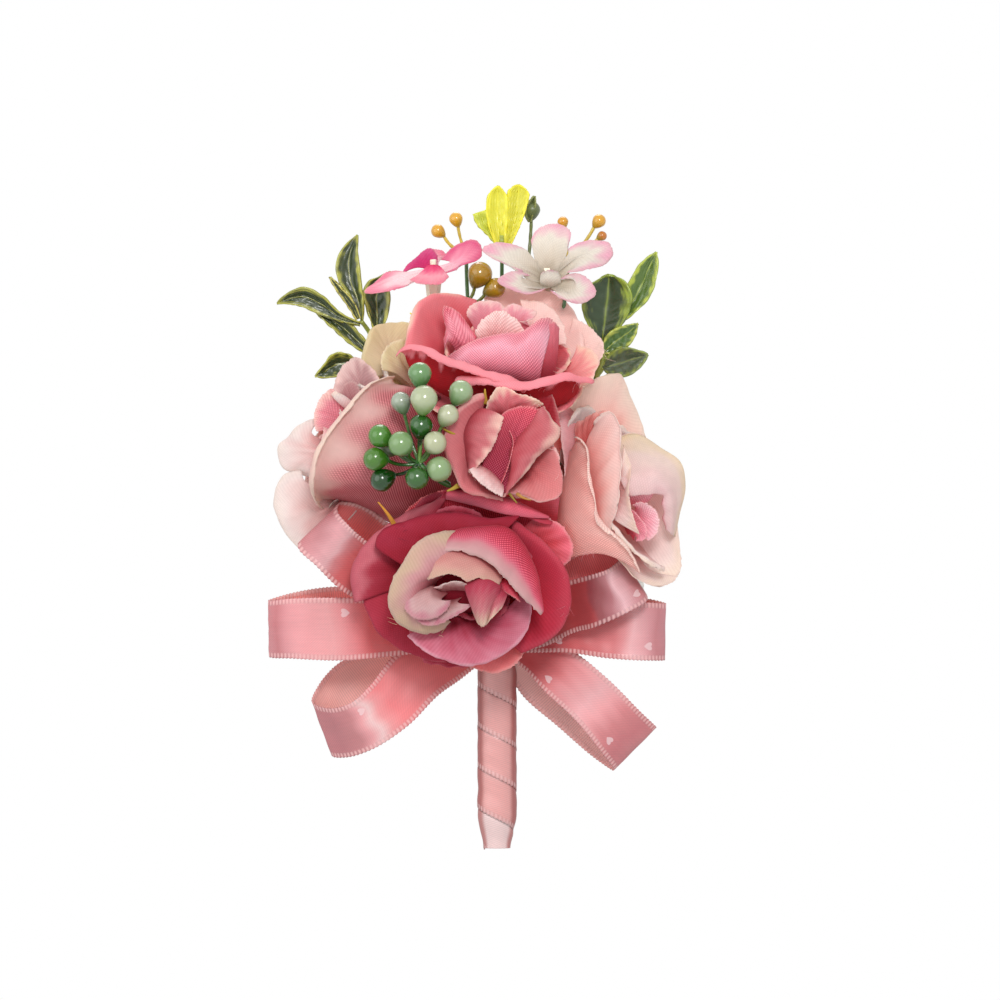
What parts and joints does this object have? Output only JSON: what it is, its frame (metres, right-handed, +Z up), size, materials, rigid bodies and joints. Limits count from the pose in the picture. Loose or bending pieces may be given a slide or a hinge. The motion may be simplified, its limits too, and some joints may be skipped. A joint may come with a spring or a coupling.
{
  "type": "wrist corsage",
  "caption": "Wrist corsage of layered cloth roses, berries, leaves and satin ribbon loops on a ribbon-wrapped stem, held by an elastic wristband.",
  "frame": {"origin": "middle of the felt pad's flat face, which lies on the wrist", "axes": "+Z up the stem to the flower tips, +Y into the wrist, the flowers face -Y"},
  "size_m": [0.0773, 0.089, 0.1218],
  "materials": {
    "satin_ribbon": "satin, twill edges",
    "deep_petal": "soft cloth",
    "rose_petal": "soft cloth",
    "pale_petal": "soft cloth",
    "cream_petal": "soft cloth",
    "white_petal": "soft cloth",
    "tipped_petal": "soft cloth",
    "calyx": "moulded",
    "leaf": "glossy",
    "yellow_leaf": "glossy",
    "berry": "glossy",
    "olive_berry": "satin",
    "stamen": "satin",
    "floral_tape": "matt",
    "elastic": "ribbed",
    "felt": "felted"
  },
  "bodies": {
    "root": {"wrist_pad": "felt", "wristband": "elastic", "neck_tape": "floral_tape", "stem_ribbon": "satin_ribbon", "bow_band": "satin_ribbon", "front_rose_stem": "calyx", "front_rose_petals_outer": "deep_petal", "front_rose_petals_second": "rose_petal", "front_rose_petals_third": "rose_petal", "front_rose_petals_inner": "rose_petal", "front_rose_heart": "rose_petal", "top_rose_stem": "calyx", "top_rose_petals_outer": "deep_petal", "top_rose_petals_second": "rose_petal", "top_rose_petals_third": "rose_petal", "top_rose_petals_inner": "rose_petal", "top_rose_heart": "rose_petal", "left_rose_stem": "calyx", "left_rose_petals_outer": "pale_petal", "left_rose_petals_second": "pale_petal", "left_rose_petals_inner": "pale_petal", "left_rose_heart": "pale_petal", "right_rose_stem": "calyx", "right_rose_petals_outer": "pale_petal", "right_rose_petals_second": "cream_petal", "right_rose_petals_inner": "cream_petal", "right_rose_heart": "cream_petal", "rose_bud_stem": "calyx", "rose_bud_petals_outer": "rose_petal", "rose_bud_petals_inner": "rose_petal", "rose_bud_heart": "rose_petal", "back_rose_stem": "calyx", "back_rose_petals_outer": "cream_petal", "back_rose_petals_inner": "cream_petal", "white_flower_stem": "white_petal", "white_flower_petals": "white_petal", "side_flower_stem": "white_petal", "side_flower_petals": "tipped_petal", "berry_spray": "berry", "left_leaf_spray": "leaf", "right_leaf_spray": "leaf", "top_leaf": "yellow_leaf", "green_bud": "leaf", "olive_berries": "olive_berry", "stamens_left": "stamen", "stamens_right": "stamen", "ribbon_loop_left_upper": "satin_ribbon", "ribbon_loop_left_middle": "satin_ribbon", "ribbon_loop_left_lower": "satin_ribbon", "ribbon_loop_right_upper": "satin_ribbon", "ribbon_loop_right_middle": "satin_ribbon", "ribbon_loop_right_lower": "satin_ribbon"}
  },
  "joints": []
}
